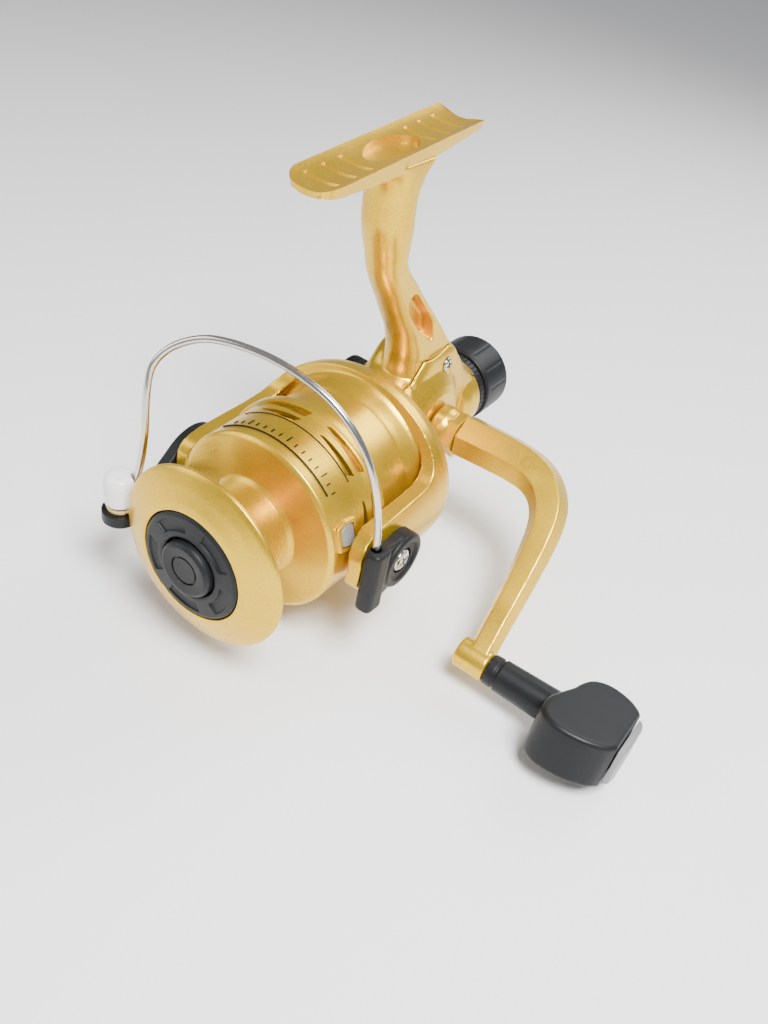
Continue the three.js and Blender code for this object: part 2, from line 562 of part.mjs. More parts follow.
function bailArm() {
  const outline = [[-12.6, -3], [-13.6, 0.6], [-16.4, 3.8], [-20, 5.6], [-24, 6], [-28.5, 5], [-32, 3],
    [-36, -0.4],
    [-40, -3.4], [-46, -4.9], [-57, -5], [-59, -5.4], [-59, -8.2], [-50, -8.8], [-42, -10.4], [-32, -11.8],
    [-22, -11.4],
    [-16, -8.4]];
  const outer = -BAIL.face - BAIL.armPlate;
  return cut(
    join(
      prismX(outline, outer, -BAIL.face, 0.9),
      discZ(5.3, 0, ROLLER.base, ROLLER.baseTop, ROLLER.x, ROLLER.y, 28),
    ),
    discZ(4.9, 0, ROLLER.baseTop, 12, ROLLER.x, ROLLER.y, 28),
    discZ(1.5, 0, -20, 0, ROLLER.x, ROLLER.y, 16),
    discX(1.9, 0, -50, -30, BAIL.pivotY, 0, 16),
    discX(4.1, 0, -50, outer + 1.9, BAIL.pivotY, 0, 24),
  );
}

function rollerCap() {
  const body = alongZ(turned([
    [0, ROLLER.capBase], [ROLLER.capRadius, ROLLER.capBase], [ROLLER.capRadius, ROLLER.capTop - 1.6],
    [3.8, ROLLER.capTop - 0.4], [2.4, ROLLER.capTop], [0, ROLLER.capTop]], 28))
    .translate(ROLLER.x, ROLLER.y, 0);
  const wireHole = bentRod(
    [[-32.7, -55.3, 0.6], [-31.8, -54.4, 4], [-30.1, -53.5, 10.3]], BAIL.wire + 0.4, 3);
  return cut(body, wireHole, discZ(1.5, 0, -6, 0.4, ROLLER.x, ROLLER.y, 16));
}

piece('bail_wire', bentRod(wirePath, BAIL.wire, 44, 7), STEEL, rotorGroup);
piece('bail_holder', bailHolder(), BLACK, rotorGroup);
piece('bail_arm', bailArm(), BLACK, rotorGroup);
piece('roller_cap', rollerCap(), WHITE, rotorGroup);
piece('line_roller', discZ(4.1, 1.5, ROLLER.baseTop + GAP, ROLLER.capBase - GAP, ROLLER.x, ROLLER.y,
  28), BRASS, rotorGroup);
piece('roller_pin', discZ(1.2, 0, ROLLER.base + 0.4, 0, ROLLER.x, ROLLER.y, 16), STEEL, rotorGroup);
const rightSeat = BAIL.face + BAIL.holderPlate - 1.9 + GAP;
const leftSeat = -BAIL.face - BAIL.armPlate + 1.9 - GAP;
piece('bail_screw_right', screwX(rightSeat, 1, 3.5, 1.4, 1.5, 7.8, BAIL.pivotY, 0), STEEL, rotorGroup);
piece('bail_screw_left', screwX(leftSeat, -1, 3.5, 1.4, 1.5, 6.9, BAIL.pivotY, 0), STEEL, rotorGroup);
piece('bail_spring', coil(4.4, 0.3, 33, 34.6, 2).applyMatrix4(
  new THREE.Matrix4().makeRotationZ(-Math.PI / 2)).translate(0, BAIL.pivotY, 0), STEEL, rotorGroup);

// ---------------------------------------------------------------- spool
/** Angle about the spool axis, measured from +Z towards +X, applied to a piece built on the +Z side. */
const turnedTo = (geometry, degrees) => geometry.rotateY(rad(degrees));
const clipOutline = (grow) => [[-3.4 - grow, -0.6], [-2.6 - grow, 2.6 + grow], [2.6 + grow, 2.6 + grow],
  [3.4 + grow, 0.6],
  [2.4 + grow, -2.6 - grow], [-2.2 - grow, -2.6 - grow]];

function spool() {
  const s = SPOOL;
  const body = turned([
    [s.bore, -46], [s.bore, -57.5], [9.2, -57.5], [9.2, CAP.back + GAP], [CAP.radius + GAP, CAP.back + GAP],
    [CAP.radius + GAP, -64.3], [19, -63.7], [23.5, -62], [26.6, -60.6], [s.lip, s.lipY], [s.lip, -58.9],
    [27, -58.3],
    [15.4, s.arborFront - 0.9], [s.arbor, s.arborFront + 0.5], [s.arbor, s.arborRear - 0.6],
    [15.4, s.arborRear + 0.6],
    [26.8, -38.6], [s.skirt, s.skirtFront], [s.skirt, -36.4], [28.1, -30], [28.4, -20], [s.skirtRim, -17.6],
    [s.skirtRim, s.skirtRear], [28.2, s.skirtRear], [27.5, -18.4], [27.1, -30], [26.9, -35.4],
    [25.8, s.web],
    [9.5, s.web], [9.5, -46],
  ], 40);
  const slots = [];
  for (let i = 0; i < 8; i++) {
    const middle = 30 + 45 * i;
    [[-23.4, 31], [-19.6, 35]].forEach(([y, span]) => {
      const arcWidth = 28 * Math.sin(rad(span / 2));
      slots.push(turnedTo(prismZ(
        [[-arcWidth, y + 0.4], [-arcWidth * 0.86, y + 1.2], [arcWidth, y + 1.2], [arcWidth * 0.8, y - 1.5]],
        22, 32), middle));
    });
  }
  const clipPocket = turnedTo(prismZ(clipOutline(GAP), 27.6, 40).translate(0, CLIP.y, 0), CLIP.angle);
  return cut(body, ...slots, clipPocket);
}

/** Front cap ring with five shallow arc-shaped finger recesses. */
function frontCap() {
  const ring = turned([[9.1, CAP.back], [CAP.radius, CAP.back], [CAP.radius, -64],
    [CAP.radius - 0.8, CAP.front],
    [9.8, CAP.front - 0.5], [9.1, CAP.front - 0.2]], 40);
  const recesses = [];
  for (let i = 0; i < 5; i++) {
    const shape = new THREE.Shape().absarc(0, 0, 14.6, rad(72 * i), rad(72 * i + 46), false);
    shape.absarc(0, 0, 11.2, rad(72 * i + 46), rad(72 * i), true);
    recesses.push(new THREE.ExtrudeGeometry(shape, { depth: 3, bevelEnabled: false, curveSegments: 4 })
      .rotateX(Math.PI / 2).translate(0, CAP.front + 0.3, 0));
  }
  return cut(ring, ...recesses);
}

function pushButton() {
  return cut(
    turned([[0, -61.3], [BUTTON.radius, -61.3], [BUTTON.radius, -66], [BUTTON.radius - 0.9, BUTTON.front],
      [4.4, -66.6], [0, -66.4]], 32),
    turned([[3.9, -68], [4.5, -68], [4.5, -66.1], [3.9, -66.1]], 24),
    turned([[3.6, -64.2], [5.7, -64.2], [5.7, -60], [3.6, -60]], 24),
  );
}

piece('spool', spool(), GOLD);
piece('front_cap', frontCap(), BLACK);
piece('push_button', pushButton(), BLACK);
piece('button_spring', coil(4.6, 0.45, -61.4, -58.2, 2), STEEL);
piece('line_clip', turnedTo(prismZ(clipOutline(0), 27.9, 29.2, 0.3).translate(0, CLIP.y, 0),
  CLIP.angle), GREY);

// ---------------------------------------------------------------- anti-reverse lever
piece('anti_reverse_lever', join(
  discZ(1.3, 0, -24.2, -16.6, 0, 49, 16),
  prismZ([[-2.6, 46.4], [2.6, 46.4], [3, 50], [2.2, 60], [0, 62], [-2.2, 60],
    [-3, 50]], -26, -24, 0.5)), BLACK);

export default reel;
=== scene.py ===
import math

import bmesh
import bpy
import numpy as np
from mathutils import Matrix, Vector


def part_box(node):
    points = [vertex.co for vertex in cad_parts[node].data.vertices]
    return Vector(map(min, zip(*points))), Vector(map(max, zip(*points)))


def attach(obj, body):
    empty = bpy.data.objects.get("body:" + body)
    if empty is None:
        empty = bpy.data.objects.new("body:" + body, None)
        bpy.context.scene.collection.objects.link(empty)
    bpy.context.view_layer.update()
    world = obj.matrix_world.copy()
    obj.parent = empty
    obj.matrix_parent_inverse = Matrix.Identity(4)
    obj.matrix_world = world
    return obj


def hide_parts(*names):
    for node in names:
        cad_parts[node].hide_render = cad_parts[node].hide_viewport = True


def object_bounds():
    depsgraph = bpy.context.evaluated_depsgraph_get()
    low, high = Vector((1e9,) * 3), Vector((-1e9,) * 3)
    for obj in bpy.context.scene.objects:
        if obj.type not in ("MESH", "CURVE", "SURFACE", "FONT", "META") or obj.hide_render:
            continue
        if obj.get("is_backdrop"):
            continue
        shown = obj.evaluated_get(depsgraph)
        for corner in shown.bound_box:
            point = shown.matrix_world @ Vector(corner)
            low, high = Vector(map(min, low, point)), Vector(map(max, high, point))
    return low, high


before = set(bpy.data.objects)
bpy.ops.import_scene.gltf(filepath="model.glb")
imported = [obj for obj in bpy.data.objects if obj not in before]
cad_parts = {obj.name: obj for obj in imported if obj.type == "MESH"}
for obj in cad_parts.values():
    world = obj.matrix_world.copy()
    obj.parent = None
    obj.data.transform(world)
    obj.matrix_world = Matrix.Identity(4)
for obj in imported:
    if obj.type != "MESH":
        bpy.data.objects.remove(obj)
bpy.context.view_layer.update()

# A rear-drag spinning reel. Shapes are written in millimetres about the spool axis (Y), and moved to the row
# frame in metres when each piece is finished. -Y is the front, +X is the handle side, +Z is up to the foot.


shaft_low, shaft_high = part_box("main_shaft")
AXIS = (shaft_low.z + shaft_high.z) / 2
rad = math.radians


# ------------------------------------------------------------------ curves and outlines
def rounded(points, radius, steps=3, closed=True):
    """The same outline with each corner replaced by a small arc."""
    pts = [np.array(p, float) for p in points]
    out = []
    n = len(pts)
    for i, p in enumerate(pts):
        if not closed and i in (0, n - 1):
            out.append(p)
            continue
        a = pts[i - 1]
        b = pts[(i + 1) % n]
        la = np.linalg.norm(a - p)
        lb = np.linalg.norm(b - p)
        d = min(radius, 0.45 * la, 0.45 * lb)
        s = p + (a - p) / la * d
        e = p + (b - p) / lb * d
        for k in range(steps + 1):
            t = k / steps
            out.append((1 - t) ** 2 * s + 2 * t * (1 - t) * p + t ** 2 * e)
    return out


def flowing(points, steps=6, closed=False):
    """Catmull-Rom curve through the points."""
    pts = [np.array(p, float) for p in points]
    n = len(pts)
    get = (lambda i: pts[i % n]) if closed else (lambda i: pts[min(max(i, 0), n - 1)])
    out = []
    for i in range(n if closed else n - 1):
        p0, p1, p2, p3 = get(i - 1), get(i), get(i + 1), get(i + 2)
        for k in range(steps):
            t = k / steps
            out.append(0.5 * (2 * p1 + (p2 - p0) * t + (2 * p0 - 5 * p1 + 4 * p2 - p3) * t ** 2
                              + (3 * p1 - p0 - 3 * p2 + p3) * t ** 3))
    if not closed:
        out.append(pts[-1])
    return out


def eased(stations, count):
    """Rows of numbers, first column rising or falling, filled in smoothly without overshoot."""
    table = np.array(stations, float)
    x = table[:, 0]
    if x[0] > x[-1]:
        return eased(table[::-1], count)[::-1]
    new_x = np.unique(np.concatenate([np.linspace(x[0], x[-1], count), x]))
    columns = [new_x]
    h = np.diff(x)
    for c in range(1, table.shape[1]):
        y = table[:, c]
        d = np.diff(y) / h
        m = np.zeros(len(x))
        m[0], m[-1] = d[0], d[-1]
        for i in range(1, len(x) - 1):
            if d[i - 1] * d[i] > 0:
                w1 = 2 * h[i] + h[i - 1]
                w2 = h[i] + 2 * h[i - 1]
                m[i] = (w1 + w2) / (w1 / d[i - 1] + w2 / d[i])
        k = np.clip(np.searchsorted(x, new_x, side="right") - 1, 0, len(x) - 2)
        t = (new_x - x[k]) / h[k]
        columns.append((2 * t ** 3 - 3 * t ** 2 + 1) * y[k] + (t ** 3 - 2 * t ** 2 + t) * h[k] * m[k]
                       + (-2 * t ** 3 + 3 * t ** 2) * y[k + 1] + (t ** 3 - t ** 2) * h[k] * m[k + 1])
    return np.stack(columns, 1)


# ------------------------------------------------------------------ solids
def solid(verts, faces):
    """Mesh object with merged corners and outward faces."""
    mesh = bpy.data.meshes.new("work")
    mesh.from_pydata([tuple(map(float, v)) for v in verts], [], faces)
    bm = bmesh.new()
    bm.from_mesh(mesh)
    bmesh.ops.remove_doubles(bm, verts=bm.verts, dist=1e-5)
    bmesh.ops.recalc_face_normals(bm, faces=bm.faces)
    bm.to_mesh(mesh)
    bm.free()
    obj = bpy.data.objects.new("work", mesh)
    bpy.context.scene.collection.objects.link(obj)
    return obj


def spun(profile, n=128, axis="y", at=(0, 0, 0)):
    """Solid of revolution of (radius, distance along the axis) points, closed on itself or the axis."""
    on_axis = profile[0][0] < 1e-6
    verts, rows = [], []
    for r, t in profile:
        row = []
        for i in range(1 if r < 1e-6 else n):
            a = 2 * math.pi * i / n
            c, s = r * math.cos(a), r * math.sin(a)
            p = {"y": (c, t, s), "x": (t, c, s), "z": (c, s, t)}[axis]
            row.append(len(verts))
            verts.append([p[k] + at[k] for k in range(3)])
        rows.append(row)
    faces = []
    pairs = list(zip(rows, rows[1:])) + ([] if on_axis else [(rows[-1], rows[0])])
    for a, b in pairs:
        for i in range(n):
            j = (i + 1) % n
            quad = [a[i % len(a)], a[j % len(a)], b[j % len(b)], b[i % len(b)]]
            quad = list(dict.fromkeys(quad))
            if len(quad) > 2:
                faces.append(quad)
    return solid(verts, faces)


def turned(profile, corner, steps, n, axis="y", at=(0, 0, 0)):
    """Solid of revolution whose profile starts and ends on the axis and has rounded corners."""
    inner = rounded(profile, corner, steps, closed=False)[1:-1]
    return spun([profile[0], *inner, profile[-1]], n, axis, at)


def prism(outline, low, high, axis="x", bevel=0.0, steps=2):
    """Outline of the other two axes, in order, extruded along one axis, with bevelled end edges."""
    place = {
        "x": lambda u, v, w: (w, u, v),
        "y": lambda u, v, w: (u, w, v),
        "z": lambda u, v, w: (u, v, w),
    }[axis]
    n = len(outline)
    verts = [place(u, v, low) for u, v in outline] + [place(u, v, high) for u, v in outline]
    faces = [list(range(n)), list(range(n, 2 * n))]
    faces += [[i, (i + 1) % n, n + (i + 1) % n, n + i] for i in range(n)]
    obj = solid(verts, faces)
    if bevel > 0:
        bm = bmesh.new()
        bm.from_mesh(obj.data)
        k = "xyz".index(axis)
        rim = [e for e in bm.edges if abs(e.verts[0].co[k] - e.verts[1].co[k]) < 1e-6]
        bmesh.ops.bevel(bm, geom=rim, offset=bevel, segments=steps, profile=0.5, affect="EDGES",
                        clamp_overlap=True)
        bm.to_mesh(obj.data)
        bm.free()
    return obj


def box(a, b):
    outline = [(a[0], a[1]), (b[0], a[1]), (b[0], b[1]), (a[0], b[1])]
    return prism(outline, a[2], b[2], "z")


def skinned(rings):
    """Closed solid through a row of rings with equal point counts."""
    n = len(rings[0])
    verts = [p for ring in rings for p in ring]
    faces = []
    for r in range(len(rings) - 1):
        for i in range(n):
            j = (i + 1) % n
            faces.append([r * n + i, r * n + j, (r + 1) * n + j, (r + 1) * n + i])
    for r in (0, len(rings) - 1):
        middle = np.mean(np.array(rings[r], float), 0)
        c = len(verts)
        verts.append(tuple(middle))
        faces += [[c, r * n + i, r * n + (i + 1) % n] for i in range(n)]
    return solid(verts, faces)


def rod(points, radius, sides=20, steps=8):
    """Round bar along a smooth path."""
    path = [Vector(p) for p in flowing(points, steps)]
    up = Vector((0.3, 1, 0.2)).normalized()
    rings = []
    for i, p in enumerate(path):
        d = (path[min(i + 1, len(path) - 1)] - path[max(i - 1, 0)]).normalized()
        up = (up - d * up.dot(d)).normalized()
        side = d.cross(up)
        rings.append([p + (up * math.cos(a) + side * math.sin(a)) * radius
                      for a in (2 * math.pi * k / sides for k in range(sides))])
    return skinned(rings)


def settle(obj):
    """Applies the object's modifiers."""
    graph = bpy.context.evaluated_depsgraph_get()
    mesh = bpy.data.meshes.new_from_object(obj.evaluated_get(graph))
    obj.modifiers.clear()
    old = obj.data
    obj.data = mesh
    bpy.data.meshes.remove(old)
    return obj


def combine(body, tools, operation):
    for tool in tools:
        modifier = body.modifiers.new("join", "BOOLEAN")
        modifier.operation = operation
        modifier.solver = "MANIFOLD"
        modifier.object = tool
        settle(body)
        bpy.data.objects.remove(tool)
    return body


def joined(body, *tools):
    return combine(body, tools, "UNION")


def less(body, *tools):
    return combine(body, tools, "DIFFERENCE")


def shared(body, *tools):
    return combine(body, tools, "INTERSECT")


def moved(obj, matrix):
    obj.data.transform(matrix)
    if matrix.determinant() < 0:
        obj.data.flip_normals()
    return obj


def cast(obj, voxel, rounds):
    """Softens every edge the way a cast or moulded piece is."""
    remesh = obj.modifiers.new("even", "REMESH")
    remesh.mode = "VOXEL"
    remesh.voxel_size = voxel
    soft = obj.modifiers.new("soft", "SMOOTH")
    soft.factor = 0.5
    soft.iterations = rounds
    return settle(obj)


def piece(name, obj, body, slot, *nodes, angle=35):
    """Moves a finished shape to the row frame and puts it on its body, in place of the CAD nodes."""
    obj.data.transform(Matrix.Translation((0, 0, AXIS)) @ Matrix.Scale(0.001, 4))
    obj.name = name
    obj.data.name = name
    obj.data.materials.clear()
    obj.data.materials.append(SURFACE[slot])
    for polygon in obj.data.polygons:
        polygon.use_smooth = True
        polygon.material_index = 0
    if angle < 180:
        obj.data.set_sharp_from_angle(angle=rad(angle))
    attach(obj, body)
    if nodes:
        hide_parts(*nodes)
    return obj


# ------------------------------------------------------------------ materials
def surface(name, metallic, rough, dark, light, grain, bump, coat=0.0, coat_rough=0.2, flake=0.0,
            streak=(1, 1, 1), gloss=0.5):
    """Principled finish with a fine grain, broad tone changes and uneven roughness, all in object space."""
    material = bpy.data.materials.new(name)
    material.use_nodes = True
    nodes, links = material.node_tree.nodes, material.node_tree.links
    shader = nodes["Principled BSDF"]
    shader.inputs["Metallic"].default_value = metallic
    shader.inputs["Coat Weight"].default_value = coat
    shader.inputs["Specular IOR Level"].default_value = gloss
    shader.inputs["Coat Roughness"].default_value = coat_rough
    where = nodes.new("ShaderNodeTexCoord")
    mapping = nodes.new("ShaderNodeMapping")
    mapping.inputs["Scale"].default_value = streak
    links.new(where.outputs["Object"], mapping.inputs["Vector"])
    fine = nodes.new("ShaderNodeTexNoise")
    fine.inputs["Scale"].default_value = grain
    fine.inputs["Detail"].default_value = 4
    broad = nodes.new("ShaderNodeTexNoise")
    broad.inputs["Scale"].default_value = 60
    broad.inputs["Detail"].default_value = 3
    for texture in (fine, broad):
        links.new(mapping.outputs["Vector"], texture.inputs["Vector"])
    tone = nodes.new("ShaderNodeValToRGB")
    tone.color_ramp.elements[0].position = 0.3
    tone.color_ramp.elements[1].position = 0.7
    tone.color_ramp.elements[0].color = (*dark, 1)
    tone.color_ramp.elements[1].color = (*light, 1)
    mixed = nodes.new("ShaderNodeMix")
    mixed.inputs["Factor"].default_value = 0.5
    links.new(fine.outputs["Fac"], mixed.inputs["A"])
    links.new(broad.outputs["Fac"], mixed.inputs["B"])
    links.new(mixed.outputs["Result"], tone.inputs["Fac"])
    colour = tone.outputs["Color"]
    uneven = nodes.new("ShaderNodeMapRange")
    uneven.inputs["From Min"].default_value = 0.25
    uneven.inputs["From Max"].default_value = 0.75
    uneven.inputs["To Min"].default_value = rough[0]
    uneven.inputs["To Max"].default_value = rough[1]
    links.new(broad.outputs["Fac"], uneven.inputs["Value"])
    links.new(uneven.outputs["Result"], shader.inputs["Roughness"])
    relief = nodes.new("ShaderNodeBump")
    relief.inputs["Strength"].default_value = bump
    relief.inputs["Distance"].default_value = 0.0002
    links.new(fine.outputs["Fac"], relief.inputs["Height"])
    normal = relief.outputs["Normal"]
    if flake > 0:
        cells = nodes.new("ShaderNodeTexVoronoi")
        cells.inputs["Scale"].default_value = 5200
        links.new(where.outputs["Object"], cells.inputs["Vector"])
        sparkle = nodes.new("ShaderNodeHueSaturation")
        spread = nodes.new("ShaderNodeSeparateColor")
        links.new(cells.outputs["Color"], spread.inputs["Color"])
        shade = nodes.new("ShaderNodeMapRange")
        shade.inputs["To Min"].default_value = 1 - flake
        shade.inputs["To Max"].default_value = 1 + flake
        links.new(spread.outputs["Red"], shade.inputs["Value"])
        links.new(shade.outputs["Result"], sparkle.inputs["Value"])
        links.new(colour, sparkle.inputs["Color"])
        colour = sparkle.outputs["Color"]
        tilt = nodes.new("ShaderNodeBump")
        tilt.inputs["Strength"].default_value = 0.1
        tilt.inputs["Distance"].default_value = 0.0001
        links.new(spread.outputs["Green"], tilt.inputs["Height"])
        links.new(normal, tilt.inputs["Normal"])
        normal = tilt.outputs["Normal"]
    links.new(colour, shader.inputs["Base Color"])
    links.new(normal, shader.inputs["Normal"])
    return material


SURFACE = {
    "gold_paint": surface("gold_paint", 0.82, (0.25, 0.34), (0.62, 0.37, 0.015), (0.84, 0.53, 0.03),
                          1800, 0.04, coat=0.03, coat_rough=0.2, flake=0.1, gloss=0.3),
    "black_plastic": surface("black_plastic", 0.0, (0.38, 0.5), (0.005, 0.0055, 0.006),
                             (0.011, 0.012, 0.013), 3500, 0.14, gloss=0.22),
    "grey_plastic": surface("grey_plastic", 0.0, (0.3, 0.42), (0.16, 0.16, 0.165), (0.22, 0.22, 0.225),
                            3000, 0.1),
    "steel": surface("steel", 1.0, (0.14, 0.22), (0.55, 0.53, 0.49), (0.7, 0.68, 0.64), 900, 0.01,
                     streak=(1, 1, 0.25)),
    "brass": surface("brass", 1.0, (0.2, 0.32), (0.62, 0.43, 0.16), (0.78, 0.57, 0.25), 2400, 0.06,
                     streak=(1, 1, 0.2)),
    "zinc": surface("zinc", 0.9, (0.38, 0.52), (0.36, 0.36, 0.37), (0.5, 0.5, 0.51), 1500, 0.25),
    "white_cap": surface("white_cap", 0.0, (0.1, 0.2), (0.8, 0.8, 0.79), (0.9, 0.9, 0.89), 900, 0.03,
                         coat=0.6, coat_rough=0.05),
    "felt": surface("felt", 0.0, (0.85, 0.98), (0.08, 0.065, 0.05), (0.17, 0.14, 0.11), 2600, 0.7),
}

INSIDE = {
    "steel": ["drag_spring", "drag_disc_steel", "drag_disc_rear", "main_shaft", "knob_spindle",
              "bearing_left", "bearing_right", "pinion_bearing", "one_way_clutch", "roller_pin",
              "bail_spring", "button_spring"],
    "brass": ["drag_spindle", "pinion_gear", "rotor_nut", "line_roller"],
    "zinc": ["oscillation_slider", "worm_shaft", "drive_gear"],
    "felt": ["drag_disc_felt"],
}
for slot_name, names in INSIDE.items():
    for node_name in names:
        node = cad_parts[node_name]
        node.data.materials.clear()
        node.data.materials.append(SURFACE[slot_name])

# ------------------------------------------------------------------ shared dimensions, in millimetres
GAP = 0.3
DROP = 100.7
FOOT_LENGTH, FOOT_WIDTH, FOOT_PITCH, FOOT_SAG, FOOT_THICK = 66, 14.8, 4.6, 1.6, 2.6
CRANK_Y, CRANK_Z, CRANK_TURN = 36, 6.5, -56
KNOB_REACH, KNOB_TILT = 59.4, 14
PIVOT_Y, BAIL_FACE = -20.6, 35.4
PARTING = 6.3
REAR = 67
crank = Matrix.Translation((0, CRANK_Y, CRANK_Z)) @ Matrix.Rotation(rad(CRANK_TURN), 4, "X")
knob = crank @ Matrix.Translation((0, 0, -KNOB_REACH)) @ Matrix.Rotation(rad(-CRANK_TURN - KNOB_TILT), 4, "X")


def screw(face, side, head, height, y, z):
    """Cross-recessed screw head about X."""
    profile = rounded([(0, 0), (head, 0), (head, height * 0.55), (head * 0.7, height * 0.95), (0, height)],
                      0.45, 4, closed=False)
    obj = spun([(r, face + side * t) for r, t in profile], 64, "x", (0, y, z))
    top = face + side * height
    low, high = sorted((top - side * 0.85, top + side * 0.6))
    slot, groove = head * 0.58, 0.42
    cross = [box((low, -slot, -groove), (high, slot, groove)),
             box((low, -groove, -slot), (high, groove, slot))]
    for one in cross:
        moved(one, Matrix.Translation((0, y, z)) @ Matrix.Rotation(rad(20), 4, "X"))
    return less(obj, *cross)


# ------------------------------------------------------------------ housing and side cover
def foot_plate():
    """Foot with a cylindrical trough along its top, rounded at the front and square at the rear."""
    half, end = FOOT_WIDTH / 2, FOOT_LENGTH / 2
    rings = []
    near = [-end + d for d in (0, 0.25, 0.6, 1.1, 1.8, 2.6, 3.6, 4.8, 6)]
    for y in near + list(np.linspace(-25, end, 40)):
        from_front = y + end
        w = half
        if from_front < 6:
            w = half * (0.42 + 0.58 * math.sqrt(max(0, 1 - (1 - from_front / 6) ** 2)))
        depth = FOOT_THICK * (1.5 - 0.9 * abs(y / end) ** 1.3)
        top = []
        for i in range(21):
            x = w * (1 - i / 10)
            top.append((x, y, -FOOT_SAG * (1 - (abs(x) / half) ** 2)))
        under = []
        for i in range(1, 20):
            x = -w * (1 - i / 10)
            crown = 0.7 * (1 - abs(x / w) ** 2.5)
            under.append((x, y, -depth - 0.9 - crown + 7.2 * max(0, abs(x / w) - 0.9)))
        rings.append(top + under)
    return skinned(rings)


def seat(obj):
    """Moves a shape made about the foot to its place over the stem."""
    return moved(obj, Matrix.Translation((0, 0, DROP)) @ Matrix.Rotation(rad(FOOT_PITCH), 4, "X"))


def stem():
    """Stem from foot to case, as rows of height, front, side, rear and half width."""
    stations = eased([
        [97.5, -9, -1, 13, 7.2], [93, -4, 3, 8.6, 7.3], [88, -2.5, 4, 6.8, 7.3], [80, -2.1, 4.9, 7.9, 7.2],
        [74, -0.2, 5.8, 9, 6.7], [69, 1.8, 6.9, 10.2, 6.1], [65.5, 3, 7.7, 12.4, 5.8],
        [61, 5.4, 9.8, 17, 5.6], [54, 10.2, 14.6, 23.8, 5.6], [47, 14.9, 19.4, 30.7, 5.8],
        [38, 20.8, 25.8, 39.2, 6.3], [31, 23.2, 29, 45.3, 6.7], [22, 23.6, 29.6, 53, 6.9]], 60)
    rings = []
    for z, front, side, rear, w in stations:
        ring = [(w - 0.9, rear, z), (w - 0.25, rear - 0.25, z), (w, rear - 0.9, z)]
        for i in range(25):
            a = i / 24 * math.pi
            ring.append((w * math.cos(a), side - (side - front) * math.sin(a), z))
        ring += [(-w, rear - 0.9, z), (-w + 0.25, rear - 0.25, z), (-w + 0.9, rear, z)]
        rings.append(ring)
    return skinned(rings)


def casing():
    """Outside of the case, as rows of distance back, left, right, top, bottom and squareness."""
    stations = eased([
        [13.6, 24, 24, 24, 24, 2], [17, 24, 24, 24, 24, 2], [20.4, 19.6, 20, 23.4, 23.4, 2.2],
        [24.6, 14.4, 12.4, 24.6, 24, 2.8], [28.6, 13.2, 9.9, 28.4, 24.2, 4.2], [34, 13, 9.6, 31.4, 24, 5.5],
        [46, 13, 9.6, 30.5, 21.2, 6], [52.6, 13, 9.6, 24.4, 18.8, 6], [59, 13, 9.6, 18, 16.6, 5],
        [64.1, 12.8, 9.8, 13.9, 14.6, 4.4], [REAR, 12.4, 10.4, 12.2, 12.6, 2.6]], 70)
    rings = []
    for y, left, right, top, bottom, power in stations:
        ring = []
        for i in range(160):
            a = i / 160 * 2 * math.pi
            c, d = math.cos(a), math.sin(a)
            across = math.copysign(abs(c) ** (2 / power), c)
            upward = math.copysign(abs(d) ** (2 / power), d)
            ring.append(((right if c > 0 else left) * across, y, (top if d > 0 else bottom) * upward))
        rings.append(ring)
    neck = spun([(0, 58), (12, 58), (13.4, 61), (13.4, REAR), (0, REAR)], 128)
    boss = spun([(0, 6), (19.3, 6), (18.9, 8.2), (13.5, 12.2), (11, 13.4), (0, 13.4)],
                128, "x", (0, CRANK_Y, CRANK_Z))
    return joined(skinned(rings), neck, boss)


def cover_outline(grow):
    """Edge of the side cover, seen from its side."""
    top = flowing([(19, 33.6 + grow), (29.7, 29.4 + grow), (37, 29.2 + grow), (46, 29.9 + grow),
                   (52.5, 25.6 + grow), (59 + grow, 17.2 + grow), (REAR - 0.2 + grow, 9.6 + grow)], 5)
    return [(17.6 - grow, -40), (17.6 - grow, 33.6 + grow), *top, (REAR - 0.2 + grow, -40)]


def hollow(low, high):
    """Space inside the case for the gears and the slider."""
    return prism([(22, -18), (22, 18), (28, 24), (43.5, 26), (52, 18.5), (57, 12), (57, -10), (51, -16.8),
                  (38, -18.4), (28, -19)], low, high)


def bore_y(radius, low, high):
    return spun([(0, low), (radius, low), (radius, high), (0, high)], 64)


def bore_x(radius, low, high, y, z, n=64):
    return spun([(0, low), (radius, low), (radius, high), (0, high)], n, "x", (0, y, z))


def bore_z(radius, low, high, x, y):
    return spun([(0, low), (radius, low), (radius, high), (0, high)], 64, "z", (x, y, 0))


COVER_SCREWS = [("cover_screw_top", 42.6, 24.5), ("cover_screw_front", 26.3, -20.2),
                ("cover_screw_rear", 58.2, -12.2)]
STEM_HOLLOW = [(16, 55.4), (19, 56), (24.6, 50.6), (31.6, 43.6), (33.6, 36.6), (32.6, 35.6), (25, 41.6),
               (17.6, 49), (15.6, 52.4)]

